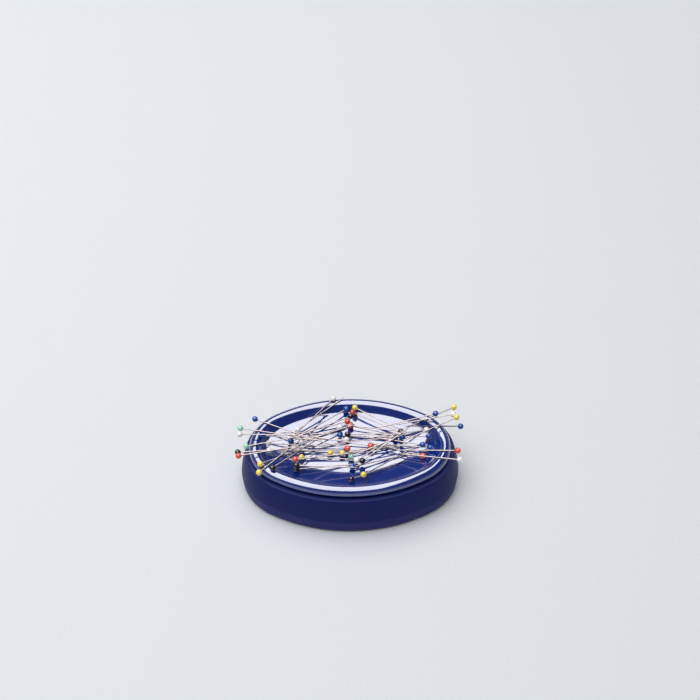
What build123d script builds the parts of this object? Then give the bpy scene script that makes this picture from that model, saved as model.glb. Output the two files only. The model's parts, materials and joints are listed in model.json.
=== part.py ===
from build123d import *
from math import acos, asin, atan, atan2, cos, degrees, hypot, pi, radians, sin, sqrt
import os

# A magnetic pin bowl: a glossy oval dish in a matte flared housing, closed from below by a tray that
# carries two magnets on a steel plate, with glass-headed pins lying over both magnets.
# The origin is on the table under the middle of the bowl, +X is along it and +Z is up.

# Outline at the widest level
bowl_length = 110.0
bowl_width = 75.0
end_radius = 30.3

# Heights above the table
bowl_height = 25.5
foot_lift = 1.0
seam_height = 7.5
shoulder_height = 20.3
lip_bottom_height = 21.7
floor_height = 20.2
floor_foot_height = 21.5

# Dish: every inset is measured inwards from the widest outline
rim_inset = 7.6
rim_radius = 3.0
rim_wall = 1.8
rim_seat_height = 22.6
rim_facets = 5
floor_facets = 2
wall_foot_inset = 12.4
floor_flat_inset = 23.8
floor_thickness = 2.0
skirt_thickness = 1.4
skirt_depth = 4.7

# Housing
shoulder_inset = 2.7
belly_inset = 1.1
belly_height = 14.5
housing_wall = 2.2
neck_inset = 8.3
neck_thickness = 1.8
flank_facets = 2
seam_break = 0.3

# Base tray
tray_bottom_inset = 0.6
tray_edge_bevel = 0.6
tray_plate = 2.0
tray_wall = 2.4
tongue_height = 2.0
tongue_thickness = 1.2

# Magnets and the steel plate under them
magnet_end_inset = 28.0
magnet_diameter = 22.0
magnet_thickness = 6.0
yoke_thickness = 1.5
magnet_seat = 2.0
cradle_wall = 1.6
cradle_ledge = 1.6

# Posts of the dish, pressed into sockets of the tray
post_diameter = 4.0
post_engagement = 7.0
socket_height = 10.0
socket_wall = 1.4

# Rubber feet
foot_diameter = 8.0
foot_recess = 0.8
foot_inset = 8.0
foot_angle = 70.0

# Clearances
fit_clearance = 0.1
cradle_clearance = 0.2
magnet_air_gap = 0.2
pin_gap = 0.12

# Pins: pin_reach runs from the point to the middle of the head
pin_reach = 30.5
pin_wire_diameter = 0.6
pin_point_length = 3.0
pin_point_diameter = 0.08
head_diameter = 3.0
head_bore_depth = 1.2
settle_places = 61
settle_rounds = 6
facet_count = 6

# A head is a faceted barrel: the radius of its ends and the height of its middle band, as shares of its
# radius
head_end_share = 0.45
head_band_share = 0.75

# Where a laid pin balances, between its weight and the magnet's pull on its point, as a share of its
# reach from the point
balance_share = 0.45

# Pins of the heap in the order they were laid: colour, the head's place as shares of the bowl's half
# length and half width, and the compass angle in degrees from the head to the point
heap_pin_shares = (
    ("yellow", -0.44, -0.16, -2),
    ("blue", 0.42, 0.18, 174),
    ("yellow", -0.18, -0.09, 10),
    ("white", -0.51, 0.00, 10),
    ("blue", 0.02, -0.35, 19),
    ("blue", -0.54, 0.14, 19),
    ("red", 0.01, 0.41, -15),
    ("red", -0.02, 0.49, -163),
    ("yellow", -0.07, -0.11, 12),
    ("black", -0.48, -0.39, 9),
    ("white", -0.60, -0.06, 4),
    ("black", 0.01, -0.58, 27),
    ("blue", 0.72, 0.13, 177),
    ("blue", 0.73, -0.03, 171),
    ("red", 0.66, -0.17, 159),
    ("blue", -0.09, 0.23, 174),
    ("black", -0.02, 0.23, 3),
    ("white", -0.74, 0.05, -1),
    ("blue", 0.48, 0.11, 180),
    ("red", 0.03, 0.64, -30),
    ("blue", -0.03, 0.67, -145),
    ("black", 0.01, 0.53, -155),
    ("white", -0.09, 0.36, -147),
    ("black", 0.47, 0.24, 171),
    ("yellow", 0.05, 0.65, -29),
    ("white", -0.03, 0.10, 177),
    ("white", -0.73, -0.09, 0),
    ("white", -0.44, 0.03, 24),
    ("white", 0.06, -0.25, 36),
    ("blue", 0.66, -0.02, 171),
    ("white", 0.70, 0.22, -168),
    ("yellow", -0.80, -0.40, 31),
    ("black", -1.01, -0.17, 6),
    ("blue", 1.02, 0.33, -170),
    ("red", -0.02, -0.05, 166),
    ("yellow", 0.97, 0.64, -150),
    ("mint", 0.01, -0.18, 22),
    ("white", -0.48, 0.34, 38),
    ("black", -0.69, -0.48, 43),
    ("yellow", 0.12, -0.53, 36),
    ("white", 0.95, 0.43, -173),
    ("blue", -0.79, 0.14, -10),
    ("blue", -0.87, 0.43, -20),
    ("yellow", -0.81, -0.52, 45),
    ("black", -0.48, -0.40, 1),
)

# Pins that lie on top, over nothing but the heap, in the same terms
top_pin_shares = (
    ("black", 0.11, -0.28, 36),
    ("red", 0.19, 0.00, 172),
    ("mint", -1.00, 0.26, -8),
    ("red", 0.97, -0.20, 171),
    ("white", -0.15, 0.80, -130),
    ("white", 0.98, -0.37, 165),
    ("red", -1.00, -0.25, 10),
    ("red", -0.49, -0.33, 12),
    ("blue", 0.79, 0.44, -171),
    ("white", -1.00, 0.12, -1),
    ("mint", -0.94, -0.05, 10),
    ("yellow", 0.98, 0.36, -155),
)

# Outline: two end arcs and two flank arcs, tangent where they join
half_length = bowl_length / 2
half_width = bowl_width / 2
end_x = half_length - end_radius
end_y = half_width - end_radius
flank_drop = (end_x**2 - end_y**2) / (2 * end_y)
flank_radius = half_width + flank_drop
end_turn = degrees(atan2(flank_drop, end_x))
flank_turn = 90 - end_turn
magnet_place = half_length - magnet_end_inset

# The four arcs in order: centre, radius at the widest level, middle angle and half turn
outline_arcs = (
    (end_x, 0, end_radius, 0, end_turn),
    (0, -flank_drop, flank_radius, 90, flank_turn),
    (-end_x, 0, end_radius, 180, end_turn),
    (0, flank_drop, flank_radius, 270, flank_turn),
)

# Heights that follow
rim_centre_height = bowl_height - rim_radius
dish_underside = floor_height - floor_thickness
skirt_bottom = lip_bottom_height - skirt_depth
flange_underside = shoulder_height - housing_wall
tray_floor = foot_lift + tray_plate
magnet_top = dish_underside - magnet_air_gap
yoke_top = magnet_top - magnet_thickness
yoke_bottom = yoke_top - yoke_thickness
socket_top = tray_floor + socket_height
post_bottom = socket_top - post_engagement

# Insets that follow
lip_inset = rim_inset - rim_radius
rim_inside_inset = lip_inset + rim_wall
collar_inset = neck_inset + neck_thickness
skirt_inset = collar_inset + fit_clearance
skirt_inner_inset = skirt_inset + skirt_thickness

pin_wire_radius = pin_wire_diameter / 2
head_radius = head_diameter / 2


def arc_point(arc, inset, turn):
    """A place on an arc's inset copy, at a turn from the arc's middle."""
    x, y, radius, middle, _ = arc
    angle = radians(middle + turn)
    return x + (radius - inset) * cos(angle), y + (radius - inset) * sin(angle)


def draw_outline(inset):
    """Draws the oval that lies inset inside the widest outline."""
    for arc in outline_arcs:
        start, middle, end = [arc_point(arc, inset, turn) for turn in (-arc[-1], 0, arc[-1])]
        ThreePointArc(start, middle, end)


def section_plane(arc):
    """The upright plane where an arc starts: its x runs outwards from the widest level, its y up."""
    _, _, _, middle, half_turn = arc
    angle = radians(middle - half_turn)
    start = arc_point(arc, 0, -half_turn)
    return Plane(origin=(*start, 0), x_dir=(cos(angle), sin(angle), 0), z_dir=(sin(angle), -cos(angle), 0))


def arc_axis(arc):
    """The upright axis that an arc turns about."""
    return Axis((arc[0], arc[1], 0), (0, 0, 1))


def circle_through(a, b, c):
    """Centre and radius of the circle through three points of a section."""
    doubled = 2 * (a[0] * (b[1] - c[1]) + b[0] * (c[1] - a[1]) + c[0] * (a[1] - b[1]))
    squares = [p[0] ** 2 + p[1] ** 2 for p in (a, b, c)]
    x = (squares[0] * (b[1] - c[1]) + squares[1] * (c[1] - a[1]) + squares[2] * (a[1] - b[1])) / doubled
    y = (squares[0] * (c[0] - b[0]) + squares[1] * (a[0] - c[0]) + squares[2] * (b[0] - a[0])) / doubled
    return x, y, hypot(a[0] - x, a[1] - y)


flank_x, flank_z, flank_bow = circle_through(
    (0, seam_height), (-belly_inset, belly_height), (-shoulder_inset, shoulder_height)
)


def round_stretch(centre, radius, start, end, facets):
    """Points along an arc of a section. A few straight facets keep the mesh of the round light."""
    angles = [start + (end - start) * i / facets for i in range(facets + 1)]
    return [(centre[0] + radius * cos(angle), centre[1] + radius * sin(angle)) for angle in angles]


def flank_point(height, wall=0):
    """A point of the housing's bowed flank, or of its inner face when a wall is given."""
    return flank_x + sqrt((flank_bow - wall) ** 2 - (height - flank_z) ** 2), height


def inner_face_x(height):
    """Section x of the housing's inner face, which is straight from the seam to its flange."""
    low, high = flank_point(seam_height, housing_wall), flank_point(flange_underside, housing_wall)
    return low[0] + (high[0] - low[0]) * (height - low[1]) / (high[1] - low[1])


def rim_end_angle():
    """Angle on the rim's round, from its outward side, where the straight inner wall leaves it."""
    run = rim_inset - wall_foot_inset
    drop = floor_foot_height - rim_centre_height
    return atan2(drop, run) % (2 * pi) - acos(rim_radius / hypot(run, drop))


rim_stretch = round_stretch((-rim_inset, rim_centre_height), rim_radius, 0, rim_end_angle(), rim_facets)
wall_top = rim_stretch[-1]
floor_run = floor_flat_inset - wall_foot_inset
floor_climb = floor_foot_height - floor_height
floor_bow = (floor_run**2 + floor_climb**2) / (2 * floor_climb)
floor_stretch = round_stretch(
    (-floor_flat_inset, floor_height + floor_bow),
    floor_bow,
    asin(floor_run / floor_bow) - pi / 2,
    -pi / 2,
    floor_facets,
)
post_spot = skirt_inner_inset + post_diameter / 4
post_places = [
    (half_length - post_spot, 0),
    (0, half_width - post_spot),
    (post_spot - half_length, 0),
    (0, post_spot - half_width),
]
foot_reach = end_radius - foot_inset
foot_x = end_x + foot_reach * cos(radians(foot_angle))
foot_y = foot_reach * sin(radians(foot_angle))

# One post of the dish
with BuildPart() as post_pattern:
    with BuildSketch(Plane.XY.offset(post_bottom)):
        Circle(post_diameter / 2)
    extrude(amount=dish_underside - post_bottom)

# Dish: rolled rim that takes the neck, bevelled wall and bowed floor, turned about the oval's four arcs
with BuildSketch() as dish_section:
    with BuildLine():
        Polyline(
            *rim_stretch,
            *floor_stretch,
            (-floor_flat_inset, dish_underside),
            (-skirt_inner_inset, dish_underside),
            (-skirt_inner_inset, skirt_bottom),
            (-skirt_inset, skirt_bottom),
            (-skirt_inset, rim_seat_height),
            (-rim_inside_inset, rim_seat_height),
            (-rim_inside_inset, lip_bottom_height),
            (-lip_inset, lip_bottom_height),
            rim_stretch[0],
        )
    make_face()

with BuildPart() as dish:
    for arc in outline_arcs:
        with BuildSketch(section_plane(arc)):
            add(dish_section.sketch)
        revolve(axis=arc_axis(arc), revolution_arc=2 * arc[-1])
    with BuildSketch(Plane.XY.offset(dish_underside)):
        with BuildLine():
            draw_outline(floor_flat_inset)
        make_face()
    extrude(amount=floor_thickness)
    with Locations(*post_places):
        add(post_pattern.part)

# Housing: bowed flank from the seam to the shoulder, then the set-back neck that the lip sits on
with BuildSketch() as housing_section:
    with BuildLine():
        Polyline(
            *round_stretch(
                (flank_x, flank_z),
                flank_bow,
                asin((seam_height - flank_z) / flank_bow),
                asin((shoulder_height - flank_z) / flank_bow),
                flank_facets,
            ),
            (-neck_inset, shoulder_height),
            (-neck_inset, rim_seat_height),
            (-collar_inset, rim_seat_height),
            (-collar_inset, flange_underside),
            flank_point(flange_underside, housing_wall),
            flank_point(seam_height, housing_wall),
            flank_point(seam_height),
        )
    make_face()

with BuildPart() as housing:
    for arc in outline_arcs:
        with BuildSketch(section_plane(arc)):
            add(housing_section.sketch)
        revolve(axis=arc_axis(arc), revolution_arc=2 * arc[-1])

# Base tray: raised wall with a tongue, cradle for the steel plate, sockets and recesses for the feet
with BuildSketch() as tray_section:
    tongue_top = seam_height + tongue_height
    tongue_x = inner_face_x(tongue_top) - fit_clearance
    tray_inner_x = -tray_bottom_inset - tray_wall
    plate_x = tray_inner_x - tray_wall
    with BuildLine():
        Polyline(
            (plate_x, foot_lift),
            (-tray_bottom_inset, foot_lift),
            (0, seam_height - seam_break),
            (-seam_break, seam_height),
            (tongue_x, seam_height),
            (tongue_x, tongue_top),
            (tongue_x - tongue_thickness, tongue_top),
            (tray_inner_x - tongue_thickness, tray_floor),
            (plate_x, tray_floor),
            (plate_x, foot_lift),
        )
    make_face()
    chamfer(
        tray_section.vertices().sort_by_distance((-tray_bottom_inset, foot_lift))[0],
        length=tray_edge_bevel,
    )

with BuildPart() as base_tray:
    for arc in outline_arcs:
        with BuildSketch(section_plane(arc)):
            add(tray_section.sketch)
        revolve(axis=arc_axis(arc), revolution_arc=2 * arc[-1])
    with BuildSketch(Plane.XY.offset(foot_lift)):
        with BuildLine():
            draw_outline(-plate_x)
        make_face()
    extrude(amount=tray_plate)
    cradle_width = magnet_diameter + 2 * cradle_clearance
    with BuildSketch(Plane.XY.offset(tray_floor)):
        SlotCenterToCenter(2 * magnet_place, cradle_width + 2 * cradle_wall)
        SlotCenterToCenter(2 * magnet_place, cradle_width - 2 * cradle_ledge, mode=Mode.SUBTRACT)
    extrude(amount=yoke_bottom - tray_floor)
    with BuildSketch(Plane.XY.offset(yoke_bottom)):
        SlotCenterToCenter(2 * magnet_place, cradle_width + 2 * cradle_wall)
        SlotCenterToCenter(2 * magnet_place, cradle_width, mode=Mode.SUBTRACT)
    extrude(amount=yoke_thickness + magnet_seat)
    with BuildSketch(Plane.XY.offset(tray_floor)):
        with Locations(*post_places):
            Circle(post_diameter / 2 + fit_clearance + socket_wall)
    extrude(amount=socket_height)
    with BuildSketch(Plane.XY.offset(tray_floor)):
        with Locations(*post_places):
            Circle(post_diameter / 2 + fit_clearance)
    extrude(amount=socket_height, mode=Mode.SUBTRACT)
    with BuildSketch(Plane.XY.offset(foot_lift)):
        with GridLocations(2 * foot_x, 2 * foot_y, 2, 2):
            Circle(foot_diameter / 2 + fit_clearance)
    extrude(amount=foot_recess, mode=Mode.SUBTRACT)

# Steel plate that joins the backs of the magnets
with BuildPart() as yoke_plate:
    with BuildSketch(Plane.XY.offset(yoke_bottom)):
        SlotCenterToCenter(2 * magnet_place, magnet_diameter)
    extrude(amount=yoke_thickness)


os.makedirs("parts", exist_ok=True)


def export_piece(piece, name):
    """Labels a finished piece and writes it under its name."""
    piece.part.label = name
    export_step(piece.part, f"parts/{name}.step")


export_piece(dish, "dish")
export_piece(housing, "housing")
export_piece(base_tray, "base_tray")
export_piece(yoke_plate, "yoke_plate")

# Ferrite discs, one under each end of the floor
for side, x in (("left", -magnet_place), ("right", magnet_place)):
    with BuildPart() as magnet:
        with BuildSketch(Plane.XY.offset(yoke_top)):
            with Locations((x, 0)):
                Circle(magnet_diameter / 2)
        extrude(amount=magnet_thickness)
    export_piece(magnet, f"{side}_magnet")

# Rubber feet, seated in their recesses and standing proud of the tray
for depth, y in (("front", -foot_y), ("back", foot_y)):
    for side, x in (("left", -foot_x), ("right", foot_x)):
        with BuildPart() as foot:
            with BuildSketch(Plane.XY):
                with Locations((x, y)):
                    Circle(foot_diameter / 2)
            extrude(amount=foot_lift + foot_recess)
        export_piece(foot, f"{depth}_{side}_foot")


def inset_at(x, y):
    """How far inside the widest outline a place on the plan lies."""
    x, y = abs(x), abs(y)
    beside_flank = end_x * (y + flank_drop) > flank_drop * x
    if beside_flank:
        return flank_radius - hypot(x, y + flank_drop)
    return end_radius - hypot(x - end_x, y)


def floor_rise(inset):
    """Height of the dish's floor between its flat middle and the foot of the wall."""
    along = min(max(floor_flat_inset - inset, 0), floor_run)
    return floor_height + floor_bow - sqrt(floor_bow**2 - along**2)


def on_dish(x, y, radius):
    """Lowest height for the middle of a ball that keeps the pin gap above the dish at a place."""
    inset = inset_at(x, y)
    reach = radius + pin_gap
    height = -bowl_height
    over_rim = rim_radius + reach
    if abs(inset - rim_inset) < over_rim:
        height = rim_centre_height + sqrt(over_rim**2 - (inset - rim_inset) ** 2)
    if inset > wall_foot_inset:
        height = max(height, floor_rise(inset) + reach)
    slope = (wall_top[1] - floor_foot_height) / (wall_top[0] + wall_foot_inset)
    along_wall = floor_foot_height + slope * (wall_foot_inset - inset) + reach * sqrt(1 + slope**2)
    if -wall_top[0] < inset < wall_foot_inset + reach:
        height = max(height, along_wall)
    return height


def on_pins(x, y, radius, laid):
    """Lowest height for the middle of a ball that keeps the pin gap above the pins laid before."""
    height = -bowl_height
    for point, head in laid:
        run_x, run_y = head[0] - point[0], head[1] - point[1]
        share = ((x - point[0]) * run_x + (y - point[1]) * run_y) / (run_x**2 + run_y**2)
        share = min(max(share, 0), 1)
        aside = hypot(x - point[0] - share * run_x, y - point[1] - share * run_y)
        reach = radius + pin_wire_radius + pin_gap
        if aside < reach:
            height = max(height, point[2] + share * (head[2] - point[2]) + sqrt(reach**2 - aside**2))
        reach = radius + head_radius + pin_gap
        aside = hypot(x - head[0], y - head[1])
        if aside < reach:
            height = max(height, head[2] + sqrt(reach**2 - aside**2))
    return height


def supports_under(head, along, run, laid):
    """Lowest heights of a pin's middle at evenly spaced places, each with its distance from the point."""
    supports = []
    for place in range(settle_places + 1):
        out = run * place / settle_places
        x = head[0] + along[0] * (run - out)
        y = head[1] + along[1] * (run - out)
        radius = head_radius if place == settle_places else pin_wire_radius
        supports.append((out, max(on_dish(x, y, radius), on_pins(x, y, radius, laid))))
    return supports


def lay_pin(x_share, y_share, angle, laid):
    """Lowers a pin onto the dish and the pins laid before, and returns its point and its head.

    The pin comes to rest on two supports, one on each side of where it balances.
    """
    head = (x_share * half_length, y_share * half_width)
    along = (cos(radians(angle)), sin(radians(angle)))
    slope = 0
    for _ in range(settle_rounds):
        run = pin_reach / sqrt(1 + slope**2)
        supports = supports_under(head, along, run, laid)
        balance = balance_share * run
        best = None
        for out_a, up_a in supports:
            for out_b, up_b in supports:
                if out_a <= balance < out_b:
                    rise = (up_b - up_a) / (out_b - out_a)
                    level = up_a + rise * (balance - out_a)
                    if best is None or level > best[0]:
                        best = (level, rise)
        slope = best[1]
    run = pin_reach / sqrt(1 + slope**2)
    point_height = max(up - slope * out for out, up in supports_under(head, along, run, laid))
    point = (head[0] + along[0] * run, head[1] + along[1] * run, point_height)
    return point, (*head, point_height + slope * run)


def pin_location(point, head):
    """Location that stands a pin drawn up the Z axis from its point onto its place."""
    towards_head = [b - a for a, b in zip(point, head)]
    return Plane(origin=point, z_dir=towards_head).location


# One steel wire with a ground point, and one glass head with a blind bore for the wire's end
flat_share = cos(pi / facet_count)
with BuildPart() as wire_pattern:
    with BuildSketch(Plane.XY):
        RegularPolygon(pin_wire_radius, facet_count)
    extrude(amount=pin_reach - head_radius + head_bore_depth)
    point_face = wire_pattern.faces().sort_by(Axis.Z)[0]
    chamfer(
        point_face.edges(),
        length=(pin_wire_radius - pin_point_diameter / 2) * flat_share,
        length2=pin_point_length,
        reference=point_face,
    )

with BuildPart() as head_pattern:
    with BuildSketch(Plane.XY.offset(pin_reach - head_radius)):
        RegularPolygon(head_radius, facet_count)
    extrude(amount=head_diameter)
    for end_face in (head_pattern.faces().sort_by(Axis.Z)[0], head_pattern.faces().sort_by(Axis.Z)[-1]):
        chamfer(
            end_face.edges(),
            length=head_radius * (1 - head_end_share) * flat_share,
            length2=head_radius * (1 - head_band_share / 2),
            reference=end_face,
        )
    with BuildSketch(Plane.XY.offset(pin_reach - head_radius)):
        RegularPolygon(pin_wire_radius, facet_count)
    extrude(amount=head_bore_depth, mode=Mode.SUBTRACT)

laid_pins = []
heap_places = []
heads_by_colour = {}
for colour, x_share, y_share, angle in heap_pin_shares:
    point, head = lay_pin(x_share, y_share, angle, laid_pins)
    laid_pins.append((point, head))
    heap_places.append(pin_location(point, head))
    heads_by_colour.setdefault(colour, []).append(heap_places[-1])

# The heap's wires together, and its heads by colour
with BuildPart() as heap_wires:
    with Locations(*heap_places):
        add(wire_pattern.part)
export_piece(heap_wires, "heap_wires")

for colour, places in heads_by_colour.items():
    with BuildPart() as heap_heads:
        with Locations(*places):
            add(head_pattern.part)
    export_piece(heap_heads, f"heap_heads_{colour}")

# The pins on top, each a wire and a head of its own
for number, (colour, x_share, y_share, angle) in enumerate(top_pin_shares, start=1):
    point, head = lay_pin(x_share, y_share, angle, laid_pins)
    laid_pins.append((point, head))
    with BuildPart() as wire:
        with Locations(pin_location(point, head)):
            add(wire_pattern.part)
    export_piece(wire, f"top_pin_{number}_wire")
    with BuildPart() as glass:
        with Locations(pin_location(point, head)):
            add(head_pattern.part)
    export_piece(glass, f"top_pin_{number}_head")

for (colour, *_), (point, head) in zip(heap_pin_shares + top_pin_shares, laid_pins):
    tilt = degrees(atan((head[2] - point[2]) / hypot(head[0] - point[0], head[1] - point[1])))
    print(f"{colour} pin: point {point[2]:.1f} mm up, head {head[2]:.1f} mm up, {tilt:.0f} degrees")
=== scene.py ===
import json
from math import acos, atan2, cos, hypot, pi, radians, sin, sqrt, tan

import bmesh
import bpy
from mathutils import Matrix, Vector

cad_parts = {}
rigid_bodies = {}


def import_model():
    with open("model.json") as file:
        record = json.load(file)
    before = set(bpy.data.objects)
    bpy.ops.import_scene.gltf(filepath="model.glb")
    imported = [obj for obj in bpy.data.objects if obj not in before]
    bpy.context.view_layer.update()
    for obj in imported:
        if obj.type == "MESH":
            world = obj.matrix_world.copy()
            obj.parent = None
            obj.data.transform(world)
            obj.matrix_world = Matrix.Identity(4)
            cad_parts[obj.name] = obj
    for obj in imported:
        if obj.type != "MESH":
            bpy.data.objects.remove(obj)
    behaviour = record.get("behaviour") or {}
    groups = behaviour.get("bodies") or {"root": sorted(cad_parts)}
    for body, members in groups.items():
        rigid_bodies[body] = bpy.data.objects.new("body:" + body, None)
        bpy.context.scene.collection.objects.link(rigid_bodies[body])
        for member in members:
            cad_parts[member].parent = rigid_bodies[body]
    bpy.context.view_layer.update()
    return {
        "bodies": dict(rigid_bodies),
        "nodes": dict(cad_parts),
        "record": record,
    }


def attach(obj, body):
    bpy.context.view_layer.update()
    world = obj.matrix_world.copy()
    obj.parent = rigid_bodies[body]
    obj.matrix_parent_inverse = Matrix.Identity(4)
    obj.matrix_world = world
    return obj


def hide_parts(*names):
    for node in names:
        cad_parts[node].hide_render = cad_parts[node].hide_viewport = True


# A magnetic pin bowl: a polished oval dish in a satin flared housing, with glass-headed steel pins lying
# over its two magnets. Lengths are in metres, and a named size is written in millimetres times MM.

MM = 0.001

# Outline at the widest level
BOWL_LENGTH = 110.0 * MM
BOWL_WIDTH = 75.0 * MM
END_RADIUS = 30.3 * MM

# Heights above the table
BOWL_HEIGHT = 25.5 * MM
FOOT_LIFT = 1.0 * MM
SEAM_HEIGHT = 7.5 * MM
SHOULDER_HEIGHT = 20.3 * MM
LIP_BOTTOM_HEIGHT = 21.7 * MM
FLOOR_HEIGHT = 20.2 * MM
FLOOR_FOOT_HEIGHT = 21.5 * MM

# Dish: insets are measured inwards from the widest outline
RIM_INSET = 7.6 * MM
RIM_RADIUS = 3.0 * MM
RIM_WALL = 1.8 * MM
RIM_SEAT_HEIGHT = 22.6 * MM
WALL_FOOT_INSET = 12.4 * MM
WALL_FOOT_RADIUS = 1.2 * MM
FLOOR_FLAT_INSET = 23.8 * MM
FLOOR_THICKNESS = 2.0 * MM
SKIRT_THICKNESS = 1.4 * MM
SKIRT_DEPTH = 4.7 * MM

# Housing
SHOULDER_INSET = 2.7 * MM
BELLY_INSET = 1.1 * MM
BELLY_HEIGHT = 14.5 * MM
HOUSING_WALL = 2.2 * MM
NECK_INSET = 8.3 * MM
NECK_THICKNESS = 1.8 * MM

# Base tray
TRAY_BOTTOM_INSET = 0.6 * MM
TRAY_PLATE = 2.0 * MM
TRAY_WALL = 2.4 * MM
TRAY_EDGE_RADIUS = 0.8 * MM
TRAY_EDGE_FLAT = 1.6 * MM
TONGUE_HEIGHT = 2.0 * MM
TONGUE_THICKNESS = 1.2 * MM

# Posts and sockets
POST_DIAMETER = 4.0 * MM
POST_BOTTOM = 6.0 * MM
SOCKET_HEIGHT = 10.0 * MM
SOCKET_WALL = 1.4 * MM

# Magnets, and the cradle of the tray that holds them on their steel plate
MAGNET_END_INSET = 28.0 * MM
MAGNET_DIAMETER = 22.0 * MM
MAGNET_THICKNESS = 6.0 * MM
MAGNET_AIR_GAP = 0.2 * MM
MAGNET_SEAT = 2.0 * MM
YOKE_THICKNESS = 1.5 * MM
CRADLE_WALL = 1.6 * MM
CRADLE_LEDGE = 1.6 * MM
CRADLE_CLEARANCE = 0.2 * MM

# Rubber feet
FOOT_DIAMETER = 8.0 * MM
FOOT_RECESS = 0.8 * MM
FOOT_INSET = 8.0 * MM
FOOT_ANGLE = radians(70)
FOOT_ROUND = 0.5 * MM
DIMPLE_DEPTH = 0.25 * MM
DIMPLE_FLAT_DIAMETER = FOOT_DIAMETER / 3
DIMPLE_DIAMETER = FOOT_DIAMETER / 2

FIT_CLEARANCE = 0.1 * MM
MOULDED_EDGE = 0.3 * MM

# Pins: the reach runs from the point to the middle of the head
PIN_REACH = 30.5 * MM
WIRE_DIAMETER = 0.6 * MM
POINT_LENGTH = 3.0 * MM
POINT_RADIUS = 0.03 * MM
POINT_WAIST_RADIUS = 0.18 * MM
HEAD_DIAMETER = 3.0 * MM
WIRE_IN_HEAD = 0.75 * MM
GLASS_COLLAR = 0.25 * MM

# How finely the round forms are divided
END_STEPS = 24
FLANK_STEPS = 36
RIM_STEPS = 18
BOW_STEPS = 12
WIRE_SIDES = 14
HEAD_SIDES = 24
HEAD_RINGS = 14
LATHE_SIDES = 48
POINT_SEGMENTS = 3
CORNER_SEGMENTS = 4
TRAY_EDGE_SEGMENTS = 6
SHARP_ANGLE = radians(32)
MERGE_DISTANCE = 0.002 * MM
NODE_MERGE_DISTANCE = 0.0002 * MM

half_length = BOWL_LENGTH / 2
half_width = BOWL_WIDTH / 2
end_x = half_length - END_RADIUS
end_y = half_width - END_RADIUS
flank_drop = (end_x**2 - end_y**2) / (2 * end_y)
end_turn = atan2(flank_drop, end_x)
flank_turn = pi - 2 * end_turn
rim_centre = (-RIM_INSET, BOWL_HEIGHT - RIM_RADIUS)
dish_underside = FLOOR_HEIGHT - FLOOR_THICKNESS
collar_inset = NECK_INSET + NECK_THICKNESS
lip_inset = RIM_INSET - RIM_RADIUS
rim_inside_inset = lip_inset + RIM_WALL
skirt_inset = collar_inset + FIT_CLEARANCE
skirt_inner_inset = skirt_inset + SKIRT_THICKNESS
tray_floor = FOOT_LIFT + TRAY_PLATE
magnet_place = half_length - MAGNET_END_INSET
yoke_bottom = dish_underside - MAGNET_AIR_GAP - MAGNET_THICKNESS - YOKE_THICKNESS
post_spot = skirt_inner_inset + POST_DIAMETER / 4
post_spots = [
    (half_length - post_spot, 0, 0),
    (0, half_width - post_spot, 0),
    (post_spot - half_length, 0, 0),
    (0, post_spot - half_width, 0),
]
foot_x = end_x + (END_RADIUS - FOOT_INSET) * cos(FOOT_ANGLE)
foot_y = (END_RADIUS - FOOT_INSET) * sin(FOOT_ANGLE)

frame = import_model()


def start_section(bm, place):
    """Begins a section in the upright plane through X, at a place given as x and height."""
    return bm.verts.new((place[0], 0, place[1]))


def line_to(bm, vert, place):
    """Draws a straight stretch of a section."""
    end = bmesh.ops.extrude_vert_indiv(bm, verts=[vert])["verts"][0]
    end.co = (place[0], 0, place[1])
    return end


def lines_to(bm, vert, places):
    """Draws straight stretches one after the other, and returns their ends."""
    ends = []
    for place in places:
        vert = line_to(bm, vert, place)
        ends.append(vert)
    return ends


def arc_to(bm, vert, centre, turn, steps):
    """Draws a round stretch of a section about a centre, turning from X towards the height."""
    made = bmesh.ops.spin(
        bm,
        geom=[vert],
        cent=(centre[0], 0, centre[1]),
        axis=(0, -1, 0),
        angle=turn,
        steps=steps,
        use_merge=False,
        use_duplicate=False,
    )
    return made["geom_last"][0]


def round_corner(bm, vert, radius, segments=CORNER_SEGMENTS):
    """Rounds a corner of a section to a radius."""
    towards = [(edge.other_vert(vert).co - vert.co).normalized() for edge in vert.link_edges]
    turn = pi - towards[0].angle(towards[1])
    bmesh.ops.bevel(
        bm,
        geom=[vert],
        offset=radius * tan(turn / 2),
        offset_type="OFFSET",
        segments=segments,
        profile=0.5,
        affect="VERTICES",
        material=-1,
    )


# Round the oval: half an end, a flank, an end, a flank and half an end, each as its centre, turn, travel
# and number of steps
OVAL_ROUTE = (
    ((end_x, 0, 0), end_turn, (0, 0, 0), END_STEPS),
    ((0, -flank_drop, 0), flank_turn, (0, 0, 0), FLANK_STEPS),
    ((-end_x, 0, 0), 2 * end_turn, (0, 0, 0), 2 * END_STEPS),
    ((0, flank_drop, 0), flank_turn, (0, 0, 0), FLANK_STEPS),
    ((end_x, 0, 0), end_turn, (0, 0, 0), END_STEPS),
)

# Round both magnets: half round one, straight, all round the other, straight and back
CRADLE_ROUTE = (
    ((magnet_place, 0, 0), pi / 2, (0, 0, 0), LATHE_SIDES // 4),
    ((0, 0, 0), 0, (-2 * magnet_place, 0, 0), 1),
    ((-magnet_place, 0, 0), pi, (0, 0, 0), LATHE_SIDES // 2),
    ((0, 0, 0), 0, (2 * magnet_place, 0, 0), 1),
    ((magnet_place, 0, 0), pi / 2, (0, 0, 0), LATHE_SIDES // 4),
)


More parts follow.
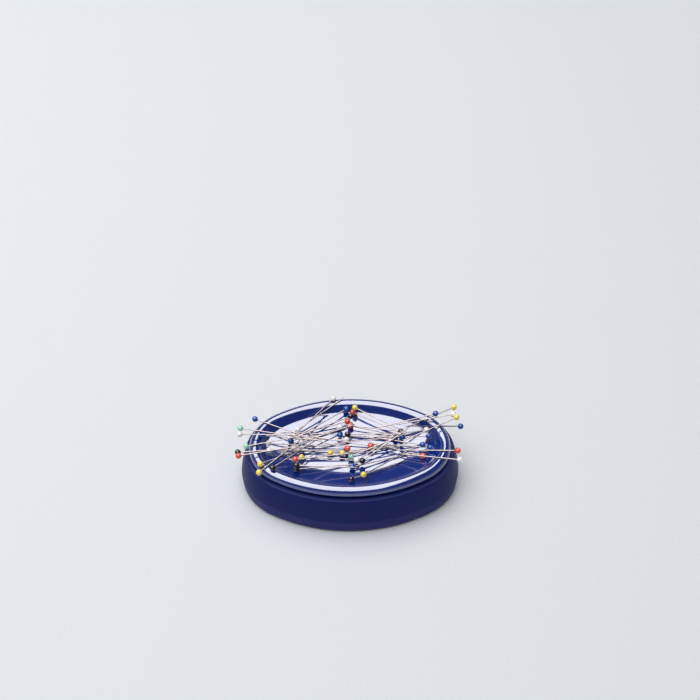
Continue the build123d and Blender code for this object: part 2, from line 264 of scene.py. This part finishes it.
def carry_round(bm, route=OVAL_ROUTE):
    """Carries the drawn section along a closed route of turns and straight runs."""
    section = bm.verts[:] + bm.edges[:]
    for centre, turn, travel, steps in route:
        made = bmesh.ops.spin(
            bm,
            geom=section,
            cent=centre,
            axis=(0, 0, 1),
            dvec=travel,
            angle=turn,
            steps=steps,
            use_merge=False,
            use_duplicate=False,
        )
        section = made["geom_last"]
    bmesh.ops.remove_doubles(bm, verts=bm.verts[:], dist=MERGE_DISTANCE)


def lathe(bm, sides, centre=(0, 0, 0)):
    """Turns the drawn section a full turn about an upright axis."""
    bmesh.ops.spin(
        bm,
        geom=bm.verts[:] + bm.edges[:],
        cent=centre,
        axis=(0, 0, 1),
        angle=2 * pi,
        steps=sides,
        use_merge=True,
        use_duplicate=False,
    )
    bmesh.ops.remove_doubles(bm, verts=bm.verts[:], dist=MERGE_DISTANCE)


def open_ring(bm, height):
    """The open edges of a shell that lie at a height."""
    return [
        edge
        for edge in bm.edges
        if len(edge.link_faces) == 1
        and all(abs(vert.co.z - height) < MERGE_DISTANCE for vert in edge.verts)
    ]


def take_mesh(bm):
    """Turns a finished shell's faces outwards and gives it back as a mesh."""
    bmesh.ops.recalc_face_normals(bm, faces=bm.faces[:])
    mesh = bpy.data.meshes.new("made")
    bm.to_mesh(mesh)
    bm.free()
    return mesh


def place_copies(meshes, places=(Matrix.Identity(4),)):
    """Joins copies of meshes, one at each place, into one mesh."""
    bm = bmesh.new()
    for place in places:
        for mesh in meshes:
            before = len(bm.verts)
            bm.from_mesh(mesh)
            bmesh.ops.transform(bm, matrix=place, verts=bm.verts[before:])
    joined = bpy.data.meshes.new("joined")
    bm.to_mesh(joined)
    bm.free()
    return joined


def add_piece(name, mesh, body, material, stands_for):
    """Adds a finished mesh as a piece of a body, in place of the nodes it stands for."""
    mesh.name = name
    mesh.polygons.foreach_set("use_smooth", [True] * len(mesh.polygons))
    mesh.set_sharp_from_angle(angle=SHARP_ANGLE)
    mesh.materials.clear()
    mesh.materials.append(material)
    piece = bpy.data.objects.new(name, mesh)
    bpy.context.scene.collection.objects.link(piece)
    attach(piece, body)
    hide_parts(*stands_for)
    return piece


def circle_through(a, b, c):
    """Centre and radius of the circle through three places of a section."""
    doubled = 2 * (a[0] * (b[1] - c[1]) + b[0] * (c[1] - a[1]) + c[0] * (a[1] - b[1]))
    squares = [p[0] ** 2 + p[1] ** 2 for p in (a, b, c)]
    x = (squares[0] * (b[1] - c[1]) + squares[1] * (c[1] - a[1]) + squares[2] * (a[1] - b[1])) / doubled
    z = (squares[0] * (c[0] - b[0]) + squares[1] * (a[0] - c[0]) + squares[2] * (b[0] - a[0])) / doubled
    return (x, z), hypot(a[0] - x, a[1] - z)


flank_centre, flank_bow = circle_through(
    (0, SEAM_HEIGHT), (-BELLY_INSET, BELLY_HEIGHT), (-SHOULDER_INSET, SHOULDER_HEIGHT)
)


def flank_angle(height, wall=0):
    """Angle on the bowed flank, or on its inner face, at a height."""
    radius = flank_bow - wall
    return atan2(height - flank_centre[1], sqrt(radius**2 - (height - flank_centre[1]) ** 2))


def flank_inset_x(height, wall=0):
    """Section x of the bowed flank, or of its inner face, at a height."""
    return flank_centre[0] + sqrt((flank_bow - wall) ** 2 - (height - flank_centre[1]) ** 2)


def at_tip(place):
    """A section place as x and height at the oval's tip."""
    return half_length + place[0], place[1]


def make_post():
    """One post of the dish, with a lead-in at its end."""
    bm = bmesh.new()
    vert = start_section(bm, (0, POST_BOTTOM))
    corner, _, _ = lines_to(
        bm,
        vert,
        [
            (POST_DIAMETER / 2, POST_BOTTOM),
            (POST_DIAMETER / 2, dish_underside + MOULDED_EDGE),
            (0, dish_underside + MOULDED_EDGE),
        ],
    )
    round_corner(bm, corner, MOULDED_EDGE)
    lathe(bm, LATHE_SIDES)
    return take_mesh(bm)


def make_ring(inner, outer, bottom, top):
    """A round upright wall, such as a socket."""
    bm = bmesh.new()
    first = start_section(bm, (inner, bottom))
    corners = lines_to(bm, first, [(outer, bottom), (outer, top), (inner, top)])
    bm.edges.new((corners[-1], first))
    lathe(bm, LATHE_SIDES)
    return take_mesh(bm)


def make_dish():
    """Rolled rim, bevelled wall and bowed floor in one sweep, with the posts below."""
    bm = bmesh.new()
    run = FLOOR_FLAT_INSET - WALL_FOOT_INSET
    rise = FLOOR_FOOT_HEIGHT - FLOOR_HEIGHT
    bow = (run**2 + rise**2) / (2 * rise)
    wall_run = RIM_INSET - WALL_FOOT_INSET
    wall_drop = FLOOR_FOOT_HEIGHT - rim_centre[1]
    wall_angle = atan2(wall_drop, wall_run) % (2 * pi) - acos(RIM_RADIUS / hypot(wall_run, wall_drop))
    wall_top = (rim_centre[0] + RIM_RADIUS * cos(wall_angle), rim_centre[1] + RIM_RADIUS * sin(wall_angle))

    vert = start_section(bm, at_tip((-FLOOR_FLAT_INSET, FLOOR_HEIGHT)))
    bow_centre = at_tip((-FLOOR_FLAT_INSET, FLOOR_HEIGHT + bow))
    foot = arc_to(bm, vert, bow_centre, atan2(run, bow - rise), BOW_STEPS)
    vert = line_to(bm, foot, at_tip(wall_top))
    vert = arc_to(bm, vert, at_tip(rim_centre), -wall_angle, RIM_STEPS)
    lip, lip_inside, _, _, skirt_end, _, _, _ = lines_to(
        bm,
        vert,
        [
            at_tip((-lip_inset, LIP_BOTTOM_HEIGHT)),
            at_tip((-rim_inside_inset, LIP_BOTTOM_HEIGHT)),
            at_tip((-rim_inside_inset, RIM_SEAT_HEIGHT)),
            at_tip((-skirt_inset, RIM_SEAT_HEIGHT)),
            at_tip((-skirt_inset, LIP_BOTTOM_HEIGHT - SKIRT_DEPTH)),
            at_tip((-skirt_inner_inset, LIP_BOTTOM_HEIGHT - SKIRT_DEPTH)),
            at_tip((-skirt_inner_inset, dish_underside)),
            at_tip((-FLOOR_FLAT_INSET, dish_underside)),
        ],
    )
    round_corner(bm, foot, WALL_FOOT_RADIUS)
    round_corner(bm, lip, MOULDED_EDGE)
    round_corner(bm, lip_inside, MOULDED_EDGE)
    round_corner(bm, skirt_end, MOULDED_EDGE)
    carry_round(bm)
    for height in (FLOOR_HEIGHT, dish_underside):
        bmesh.ops.edgeloop_fill(bm, edges=open_ring(bm, height))
    shell = take_mesh(bm)
    posts = place_copies([make_post()], [Matrix.Translation(spot) for spot in post_spots])
    return place_copies([shell, posts])


def make_housing():
    """Bowed flank from the seam to the shoulder, and the set-back neck that the lip sits on."""
    bm = bmesh.new()
    flange_underside = SHOULDER_HEIGHT - HOUSING_WALL
    seam = start_section(bm, at_tip((0, SEAM_HEIGHT)))
    low, high = flank_angle(SEAM_HEIGHT), flank_angle(SHOULDER_HEIGHT)
    shoulder = arc_to(bm, seam, at_tip(flank_centre), high - low, BOW_STEPS)
    neck_foot, _, _, _, inside_top = lines_to(
        bm,
        shoulder,
        [
            at_tip((-NECK_INSET, SHOULDER_HEIGHT)),
            at_tip((-NECK_INSET, RIM_SEAT_HEIGHT)),
            at_tip((-collar_inset, RIM_SEAT_HEIGHT)),
            at_tip((-collar_inset, flange_underside)),
            at_tip((flank_inset_x(flange_underside, HOUSING_WALL), flange_underside)),
        ],
    )
    low, high = flank_angle(SEAM_HEIGHT, HOUSING_WALL), flank_angle(flange_underside, HOUSING_WALL)
    inside_bottom = arc_to(bm, inside_top, at_tip(flank_centre), low - high, BOW_STEPS)
    bm.edges.new((inside_bottom, seam))
    round_corner(bm, seam, MOULDED_EDGE)
    round_corner(bm, shoulder, MOULDED_EDGE)
    round_corner(bm, neck_foot, MOULDED_EDGE)
    carry_round(bm)
    return take_mesh(bm)


def make_cradle():
    """Wall round both magnets, with a ledge inside that their steel plate lies on."""
    bm = bmesh.new()
    inside = MAGNET_DIAMETER / 2 + CRADLE_CLEARANCE
    bottom = tray_floor - MOULDED_EDGE
    top = yoke_bottom + YOKE_THICKNESS + MAGNET_SEAT
    outline = [
        (inside - CRADLE_LEDGE, bottom),
        (inside + CRADLE_WALL, bottom),
        (inside + CRADLE_WALL, top),
        (inside, top),
        (inside, yoke_bottom),
        (inside - CRADLE_LEDGE, yoke_bottom),
    ]
    places = [(magnet_place + x, z) for x, z in outline]
    first = start_section(bm, places[0])
    corners = lines_to(bm, first, places[1:])
    bm.edges.new((corners[-1], first))
    carry_round(bm, CRADLE_ROUTE)
    return take_mesh(bm)


def make_tray():
    """Base tray with its tongue, cradle, sockets for the posts and recesses for the feet."""
    bm = bmesh.new()
    tongue_top = SEAM_HEIGHT + TONGUE_HEIGHT
    tongue_x = flank_inset_x(tongue_top, HOUSING_WALL) - FIT_CLEARANCE
    inner_x = -TRAY_BOTTOM_INSET - TRAY_WALL
    plate_x = inner_x - TRAY_WALL
    vert = start_section(bm, at_tip((-TRAY_BOTTOM_INSET - TRAY_EDGE_FLAT, FOOT_LIFT)))
    bottom_edge, seam, _, _, _, _, _ = lines_to(
        bm,
        vert,
        [
            at_tip((-TRAY_BOTTOM_INSET, FOOT_LIFT)),
            at_tip((0, SEAM_HEIGHT)),
            at_tip((tongue_x, SEAM_HEIGHT)),
            at_tip((tongue_x, tongue_top)),
            at_tip((tongue_x - TONGUE_THICKNESS, tongue_top)),
            at_tip((inner_x - TONGUE_THICKNESS, tray_floor)),
            at_tip((plate_x, tray_floor)),
        ],
    )
    round_corner(bm, bottom_edge, TRAY_EDGE_RADIUS, TRAY_EDGE_SEGMENTS)
    round_corner(bm, seam, MOULDED_EDGE)
    carry_round(bm)
    bmesh.ops.edgeloop_fill(bm, edges=open_ring(bm, tray_floor))

    rims = []
    for x in (-foot_x, foot_x):
        for y in (-foot_y, foot_y):
            made = bmesh.ops.create_circle(
                bm,
                cap_ends=False,
                segments=LATHE_SIDES,
                radius=FOOT_DIAMETER / 2 + FIT_CLEARANCE,
                matrix=Matrix.Translation((x, y, FOOT_LIFT)),
            )
            rims.append(list({edge for vert in made["verts"] for edge in vert.link_edges}))
    underside = open_ring(bm, FOOT_LIFT) + [edge for rim in rims for edge in rim]
    bmesh.ops.triangle_fill(bm, use_beauty=True, edges=underside)
    for rim in rims:
        wall = bmesh.ops.extrude_edge_only(bm, edges=rim)["geom"]
        bmesh.ops.translate(
            bm, vec=(0, 0, FOOT_RECESS), verts=[v for v in wall if isinstance(v, bmesh.types.BMVert)]
        )
        bmesh.ops.edgeloop_fill(bm, edges=[e for e in wall if isinstance(e, bmesh.types.BMEdge)])
    shell = take_mesh(bm)

    socket_inside = POST_DIAMETER / 2 + FIT_CLEARANCE
    socket = make_ring(
        socket_inside, socket_inside + SOCKET_WALL, tray_floor - MOULDED_EDGE, tray_floor + SOCKET_HEIGHT
    )
    sockets = place_copies([socket], [Matrix.Translation(spot) for spot in post_spots])
    return place_copies([shell, sockets, make_cradle()])


def make_foot():
    """One moulded rubber foot with a rounded lower edge and a dimple in its sole."""
    bm = bmesh.new()
    centre = start_section(bm, (0, DIMPLE_DEPTH))
    _, sole, side, _, _ = lines_to(
        bm,
        centre,
        [
            (DIMPLE_FLAT_DIAMETER / 2, DIMPLE_DEPTH),
            (DIMPLE_DIAMETER / 2, 0),
            (FOOT_DIAMETER / 2, 0),
            (FOOT_DIAMETER / 2, FOOT_LIFT + FOOT_RECESS),
            (0, FOOT_LIFT + FOOT_RECESS),
        ],
    )
    round_corner(bm, side, FOOT_ROUND)
    round_corner(bm, sole, FOOT_ROUND)
    lathe(bm, LATHE_SIDES)
    return take_mesh(bm)


def make_wire():
    """One drawn wire with a ground point, standing on its point along Z."""
    bm = bmesh.new()
    vert = start_section(bm, (0, 0))
    top = PIN_REACH - WIRE_IN_HEAD
    places = [
        (POINT_RADIUS, 0),
        (POINT_WAIST_RADIUS, POINT_LENGTH / 2),
        (WIRE_DIAMETER / 2, POINT_LENGTH),
        (WIRE_DIAMETER / 2, top),
        (0, top),
    ]
    _, ground, shoulder, _, _ = lines_to(bm, vert, places)
    round_corner(bm, ground, POINT_LENGTH, POINT_SEGMENTS)
    round_corner(bm, shoulder, POINT_LENGTH, POINT_SEGMENTS)
    lathe(bm, WIRE_SIDES)
    return take_mesh(bm)


def make_bead():
    """One glass head melted onto the wire, with the small collar that the glass draws out there."""
    bm = bmesh.new()
    radius = HEAD_DIAMETER / 2
    wire_edge = WIRE_DIAMETER / 2 + GLASS_COLLAR / 2
    below = acos(wire_edge / radius)
    vert = start_section(bm, (0, PIN_REACH + radius))
    vert = arc_to(bm, vert, (0, PIN_REACH), -pi / 2 - below, HEAD_RINGS)
    collar_top = PIN_REACH - radius * sin(below)
    lines_to(bm, vert, [(WIRE_DIAMETER / 2, collar_top - GLASS_COLLAR), (0, collar_top - GLASS_COLLAR)])
    round_corner(bm, vert, GLASS_COLLAR)
    lathe(bm, HEAD_SIDES)
    return take_mesh(bm)


def solids_of(node):
    """The corner points of each separate solid of a node."""
    bm = bmesh.new()
    bm.from_mesh(frame["nodes"][node].data)
    bmesh.ops.remove_doubles(bm, verts=bm.verts[:], dist=NODE_MERGE_DISTANCE)
    left = set(bm.verts)
    solids = []
    while left:
        reached = [left.pop()]
        for vert in reached:
            beside = {edge.other_vert(vert) for edge in vert.link_edges} & left
            left -= beside
            reached.extend(beside)
        solids.append([vert.co.copy() for vert in reached])
    bm.free()
    return solids


def middle(points):
    """Mean of some points."""
    return sum(points, Vector()) / len(points)


def pin_place(points):
    """Place of a pin from its wire's corner points: its point at the origin and its head up Z."""
    centre = middle(points)
    one = max(points, key=lambda p: (p - centre).length)
    other = max(points, key=lambda p: (p - one).length)
    ends = []
    for end in (one, other):
        ring = [p for p in points if (p - end).length < WIRE_DIAMETER * 1.1]
        spot = middle(ring)
        ends.append((max((p - spot).length for p in ring), spot))
    point, towards = min(ends)[1], max(ends)[1]
    turn = Vector((0, 0, 1)).rotation_difference(towards - point)
    return Matrix.Translation(point) @ turn.to_matrix().to_4x4()


def srgb(text):
    """A colour written as sRGB hex, as linear values with full opacity."""
    values = [int(text[i : i + 2], 16) / 255 for i in (1, 3, 5)]
    return tuple(v / 12.92 if v <= 0.04045 else ((v + 0.055) / 1.055) ** 2.4 for v in values) + (1.0,)


def add_node(tree, kind, settings, links=()):
    """Adds a node, sets its options or sockets by name and links sockets into it."""
    node = tree.nodes.new(kind)
    for key, value in settings.items():
        if key in node.bl_rna.properties:
            setattr(node, key, value)
        else:
            node.inputs[key].default_value = value
    for key, source in dict(links).items():
        tree.links.new(source, node.inputs[key])
    return node


def new_material(name, settings):
    """A material with one shader, and its node tree, shader and object coordinates."""
    material = bpy.data.materials.new(name)
    material.use_nodes = True
    tree = material.node_tree
    shader = tree.nodes["Principled BSDF"]
    for key, value in settings.items():
        shader.inputs[key].default_value = value
    place = add_node(tree, "ShaderNodeTexCoord", {}).outputs["Object"]
    return material, tree, shader, place


def per_size(size):
    """Noise scale that makes features about this size."""
    return 1 / size


def blend_colours(tree, share, one, other):
    """Two close colours, mixed by a share."""
    mix = add_node(tree, "ShaderNodeMix", {"data_type": "RGBA"})
    mix.inputs[6].default_value = srgb(one)
    mix.inputs[7].default_value = srgb(other)
    tree.links.new(share, mix.inputs[0])
    return mix.outputs[2]


def between(tree, value, low, high, to_low, to_high):
    """A value carried from one range to another."""
    made = add_node(
        tree,
        "ShaderNodeMapRange",
        {"From Min": low, "From Max": high, "To Min": to_low, "To Max": to_high},
        {"Value": value},
    )
    return made.outputs["Result"]


def polished_styrene():
    """Injection-moulded polystyrene from a polished tool: deep even blue under a hard gloss.

    Handling leaves faint hairlines where pins slide over it, and the moulding is not quite flat.
    """
    material, tree, shader, place = new_material(
        "polished_blue_styrene",
        {
            "IOR": 1.59,
            "Specular IOR Level": 0.75,
            "Coat Weight": 1.0,
            "Coat Roughness": 0.04,
            "Coat IOR": 1.65,
        },
    )
    cloud = add_node(
        tree, "ShaderNodeTexNoise", {"Scale": per_size(30 * MM), "Detail": 2.0}, {"Vector": place}
    ).outputs["Fac"]
    colour = blend_colours(tree, cloud, "#04257A", "#062C86")
    tree.links.new(colour, shader.inputs["Base Color"])
    hairs = []
    for angle in (25, -38):
        turned = add_node(
            tree,
            "ShaderNodeMapping",
            {"Rotation": (0, 0, radians(angle)), "Scale": (1, 14, 1)},
            {"Vector": place},
        ).outputs["Vector"]
        streak = add_node(
            tree, "ShaderNodeTexNoise", {"Scale": per_size(9 * MM), "Detail": 3.0}, {"Vector": turned}
        ).outputs["Fac"]
        hairs.append(between(tree, streak, 0.64, 0.70, 0.0, 1.0))
    hair = add_node(tree, "ShaderNodeMath", {"operation": "MAXIMUM"})
    tree.links.new(hairs[0], hair.inputs[0])
    tree.links.new(hairs[1], hair.inputs[1])
    tree.links.new(between(tree, hair.outputs[0], 0.0, 1.0, 0.10, 0.24), shader.inputs["Roughness"])
    wave = add_node(
        tree, "ShaderNodeTexNoise", {"Scale": per_size(14 * MM), "Detail": 1.0}, {"Vector": place}
    ).outputs["Fac"]
    bump = add_node(
        tree, "ShaderNodeBump", {"Strength": 0.15, "Distance": 0.04 * MM}, {"Height": wave}
    ).outputs["Normal"]
    tree.links.new(bump, shader.inputs["Normal"])
    return material


def textured_styrene(name, one, other, roughness):
    """Moulded polystyrene from a spark-eroded tool: satin, with a fine even grain."""
    material, tree, shader, place = new_material(name, {"IOR": 1.55, "Specular IOR Level": 0.13})
    cloud = add_node(
        tree, "ShaderNodeTexNoise", {"Scale": per_size(11 * MM), "Detail": 3.0}, {"Vector": place}
    ).outputs["Fac"]
    colour = blend_colours(tree, between(tree, cloud, 0.3, 0.7, 0.0, 1.0), one, other)
    tree.links.new(colour, shader.inputs["Base Color"])
    # The tool's grain is about 0.15 mm; it is drawn at 0.5 mm so that it shows.
    grain = add_node(
        tree, "ShaderNodeTexNoise", {"Scale": per_size(0.5 * MM), "Detail": 2.0}, {"Vector": place}
    ).outputs["Fac"]
    satin = between(tree, grain, 0.3, 0.7, roughness - 0.05, roughness + 0.05)
    tree.links.new(satin, shader.inputs["Roughness"])
    bump = add_node(
        tree, "ShaderNodeBump", {"Strength": 0.35, "Distance": 0.05 * MM}, {"Height": grain}
    ).outputs["Normal"]
    tree.links.new(bump, shader.inputs["Normal"])
    return material


def nickelled_steel():
    """Drawn and nickel-plated spring steel: bright and faintly warm, with a little draw texture."""
    material, tree, shader, place = new_material("nickelled_pin_steel", {"Metallic": 1.0})
    cloud = add_node(
        tree, "ShaderNodeTexNoise", {"Scale": per_size(2 * MM), "Detail": 3.0}, {"Vector": place}
    ).outputs["Fac"]
    tree.links.new(blend_colours(tree, cloud, "#8A8081", "#A59A99"), shader.inputs["Base Color"])
    tree.links.new(between(tree, cloud, 0.3, 0.7, 0.14, 0.28), shader.inputs["Roughness"])
    return material


def bead_glass(name, one, other):
    """Opaque coloured glass, flame-rounded: a fire-polished skin with faint swirls of the colour."""
    material, tree, shader, place = new_material(name, {"IOR": 1.52, "Roughness": 0.06, "Coat Weight": 0.3})
    swirl = add_node(
        tree,
        "ShaderNodeTexNoise",
        {"Scale": per_size(1.6 * MM), "Detail": 2.0, "Distortion": 0.8},
        {"Vector": place},
    ).outputs["Fac"]
    tree.links.new(blend_colours(tree, swirl, one, other), shader.inputs["Base Color"])
    return material


def sintered_ferrite():
    """Pressed and sintered ferrite: charcoal grey and dull, with a fine open grain."""
    material, tree, shader, place = new_material("sintered_ferrite", {"Metallic": 0.2})
    grain = add_node(
        tree, "ShaderNodeTexNoise", {"Scale": per_size(0.4 * MM), "Detail": 4.0}, {"Vector": place}
    ).outputs["Fac"]
    tree.links.new(blend_colours(tree, grain, "#2A2A2D", "#414145"), shader.inputs["Base Color"])
    tree.links.new(between(tree, grain, 0.3, 0.7, 0.55, 0.75), shader.inputs["Roughness"])
    return material


def zinc_plate():
    """Zinc-plated mild steel sheet: pale grey with a soft cloudy bloom."""
    material, tree, shader, place = new_material("zinc_plated_steel", {"Metallic": 1.0})
    bloom = add_node(
        tree, "ShaderNodeTexVoronoi", {"Scale": per_size(3 * MM)}, {"Vector": place}
    ).outputs["Distance"]
    tree.links.new(blend_colours(tree, bloom, "#B4B6BA", "#9A9DA3"), shader.inputs["Base Color"])
    tree.links.new(between(tree, bloom, 0.0, 1.0, 0.3, 0.45), shader.inputs["Roughness"])
    return material


def moulded_rubber():
    """Moulded synthetic rubber: near black and matte, with a faint talc bloom."""
    material, tree, shader, place = new_material("moulded_rubber", {"Specular IOR Level": 0.3})
    bloom = add_node(
        tree, "ShaderNodeTexNoise", {"Scale": per_size(2 * MM), "Detail": 3.0}, {"Vector": place}
    ).outputs["Fac"]
    tree.links.new(blend_colours(tree, bloom, "#141416", "#26262A"), shader.inputs["Base Color"])
    tree.links.new(between(tree, bloom, 0.3, 0.7, 0.7, 0.85), shader.inputs["Roughness"])
    return material


BEAD_COLOURS = {
    "yellow": ("#FFDF4C", "#FFEA70"),
    "blue": ("#0A42A0", "#1256BC"),
    "white": ("#FAFAF6", "#FFFFFF"),
    "red": ("#EC523E", "#F86A54"),
    "black": ("#08080B", "#15151A"),
    "mint": ("#A4E2C4", "#BAEFD6"),
}

steel = nickelled_steel()
beads = {colour: bead_glass(f"{colour}_bead_glass", *tones) for colour, tones in BEAD_COLOURS.items()}

add_piece("dish_shell", make_dish(), "bowl", polished_styrene(), ["dish"])
add_piece(
    "housing_shell",
    make_housing(),
    "bowl",
    textured_styrene("satin_navy_styrene", "#081C5C", "#111B5E", 0.48),
    ["housing"],
)
# The tray's violet navy is lighter than the housing's. The extra lightness is painted light: it stands for
# the highlight at the tray's top edge and the brighter lower band that light from the table gives.
add_piece(
    "tray_shell",
    make_tray(),
    "bowl",
    textured_styrene("satin_violet_styrene_painted_light", "#23286A", "#2D2C70", 0.5),
    ["base_tray"],
)
rubber = moulded_rubber()
foot = make_foot()
for depth, y in (("front", -foot_y), ("back", foot_y)):
    for side, x in (("left", -foot_x), ("right", foot_x)):
        pad = place_copies([foot], [Matrix.Translation((x, y, 0))])
        add_piece(f"{depth}_{side}_pad", pad, "bowl", rubber, [f"{depth}_{side}_foot"])

for node, material in (
    ("left_magnet", sintered_ferrite()),
    ("right_magnet", sintered_ferrite()),
    ("yoke_plate", zinc_plate()),
):
    data = frame["nodes"][node].data
    data.materials.clear()
    data.materials.append(material)

# Every pin stands where its faceted wire lies, and takes the colour of the head that is nearest
wire = make_wire()
bead = make_bead()
heap_places = [pin_place(points) for points in solids_of("heap_wires")]
add_piece("heap_shafts", place_copies([wire], heap_places), "pin_heap", steel, ["heap_wires"])
crowns = [place @ Vector((0, 0, PIN_REACH)) for place in heap_places]
for colour in BEAD_COLOURS:
    node = f"heap_heads_{colour}"
    if node not in frame["nodes"]:
        continue
    places = []
    for points in solids_of(node):
        spot = middle(points)
        nearest = min(range(len(crowns)), key=lambda i: (crowns[i] - spot).length)
        places.append(heap_places[nearest])
    add_piece(
        f"heap_beads_{colour}",
        place_copies([bead], places),
        "pin_heap",
        beads[colour],
        [node],
    )

slots = {part["node"]: part["material_slot"] for part in frame["record"]["subparts"]}
for body in frame["bodies"]:
    if not body.startswith("top_pin_"):
        continue
    place = pin_place(solids_of(f"{body}_wire")[0])
    add_piece(f"{body}_shaft", place_copies([wire], [place]), body, steel, [f"{body}_wire"])
    glass = slots[f"{body}_head"]
    add_piece(
        f"{body}_bead",
        place_copies([bead], [place]),
        body,
        beads[glass.removeprefix("glass_")],
        [f"{body}_head"],
    )

# Camera at the photograph's viewing angle
CAMERA_ELEVATION = radians(47)
CAMERA_ROLL = radians(-0.6)
CAMERA_DISTANCE = 700 * MM
TARGET_HEIGHT = 13 * MM
SENSOR_WIDTH = 36
PHOTO_WIDTH = 700
PHOTO_FOCAL = 1386
PHOTO_TARGET_ROW = 459.8

camera = bpy.data.cameras.new("camera")
camera.sensor_width = SENSOR_WIDTH
camera.lens = PHOTO_FOCAL / PHOTO_WIDTH * SENSOR_WIDTH
camera.shift_y = (PHOTO_TARGET_ROW - PHOTO_WIDTH / 2) / PHOTO_WIDTH
viewer = bpy.data.objects.new("camera", camera)
bpy.context.scene.collection.objects.link(viewer)
back = Vector((0, -cos(CAMERA_ELEVATION), sin(CAMERA_ELEVATION)))
turned = Matrix.Rotation(CAMERA_ROLL, 4, back) @ Matrix.Rotation(pi / 2 - CAMERA_ELEVATION, 4, "X")
viewer.matrix_world = Matrix.Translation(Vector((0, 0, TARGET_HEIGHT)) + back * CAMERA_DISTANCE) @ turned
bpy.context.scene.camera = viewer


def add_softbox(name, low, high, height, radiance, gloss_only=False):
    """An even rectangular lamp that hangs level and shines down, from one corner's x and y to the other's."""
    lamp = bpy.data.lights.new(name, "AREA")
    lamp.shape = "RECTANGLE"
    lamp.size = high[0] - low[0]
    lamp.size_y = high[1] - low[1]
    lamp.energy = radiance * pi * lamp.size * lamp.size_y
    holder = bpy.data.objects.new(name, lamp)
    bpy.context.scene.collection.objects.link(holder)
    holder.location = ((low[0] + high[0]) / 2, (low[1] + high[1]) / 2, height)
    holder.visible_camera = False
    holder.visible_diffuse = not gloss_only


# One broad softbox over the bowl, reaching further to the left and the back, lights the scene. The brighter
# card just under it shows only in gloss, and gives the rim and the dish's floor their wide white shine.
SOFTBOX_HEIGHT = 1800 * MM
SOFTBOX_LEFT_FRONT = (-2160 * MM, -1290 * MM)
SOFTBOX_RIGHT_BACK = (690 * MM, 1800 * MM)
SOFTBOX_RADIANCE = 2.1
CARD_HEIGHT = 1795 * MM
CARD_RADIANCE = 3.4
add_softbox("overhead_softbox", SOFTBOX_LEFT_FRONT, SOFTBOX_RIGHT_BACK, SOFTBOX_HEIGHT, SOFTBOX_RADIANCE)
add_softbox("gloss_card", SOFTBOX_LEFT_FRONT, SOFTBOX_RIGHT_BACK, CARD_HEIGHT, CARD_RADIANCE, gloss_only=True)

# The room is dim round the camera, so that the dish's inner wall stays deep blue
HORIZON_STRENGTH = 0.5
OVERHEAD_STRENGTH = 0.08
FLOOR_REACH = 1800 * MM

world = bpy.data.worlds.new("studio")
bpy.context.scene.world = world
world.use_nodes = True
direction = add_node(world.node_tree, "ShaderNodeTexCoord", {}).outputs["Generated"]
upright = add_node(world.node_tree, "ShaderNodeSeparateXYZ", {}, {"Vector": direction}).outputs["Z"]
level = add_node(
    world.node_tree,
    "ShaderNodeMapRange",
    {"From Min": 0.0, "From Max": 0.5, "To Min": HORIZON_STRENGTH, "To Max": OVERHEAD_STRENGTH},
    {"Value": upright},
).outputs["Result"]
sky = world.node_tree.nodes["Background"]
sky.inputs["Color"].default_value = srgb("#F4F6FA")
world.node_tree.links.new(level, sky.inputs["Strength"])

floor_bm = bmesh.new()
bmesh.ops.create_grid(floor_bm, x_segments=8, y_segments=8, size=FLOOR_REACH)
floor = bpy.data.objects.new("floor", take_mesh(floor_bm))
bpy.context.scene.collection.objects.link(floor)
paper, paper_tree, paper_shader, paper_place = new_material("pale_paper_floor", {"Roughness": 0.9})
fibre = add_node(
    paper_tree, "ShaderNodeTexNoise", {"Scale": per_size(1.2 * MM), "Detail": 3.0}, {"Vector": paper_place}
).outputs["Fac"]
paper_colour = blend_colours(paper_tree, fibre, "#DCDFE4", "#E6E9ED")
paper_tree.links.new(paper_colour, paper_shader.inputs["Base Color"])
floor.data.materials.append(paper)

view_settings = bpy.context.scene.view_settings
view_settings.view_transform = "Standard"
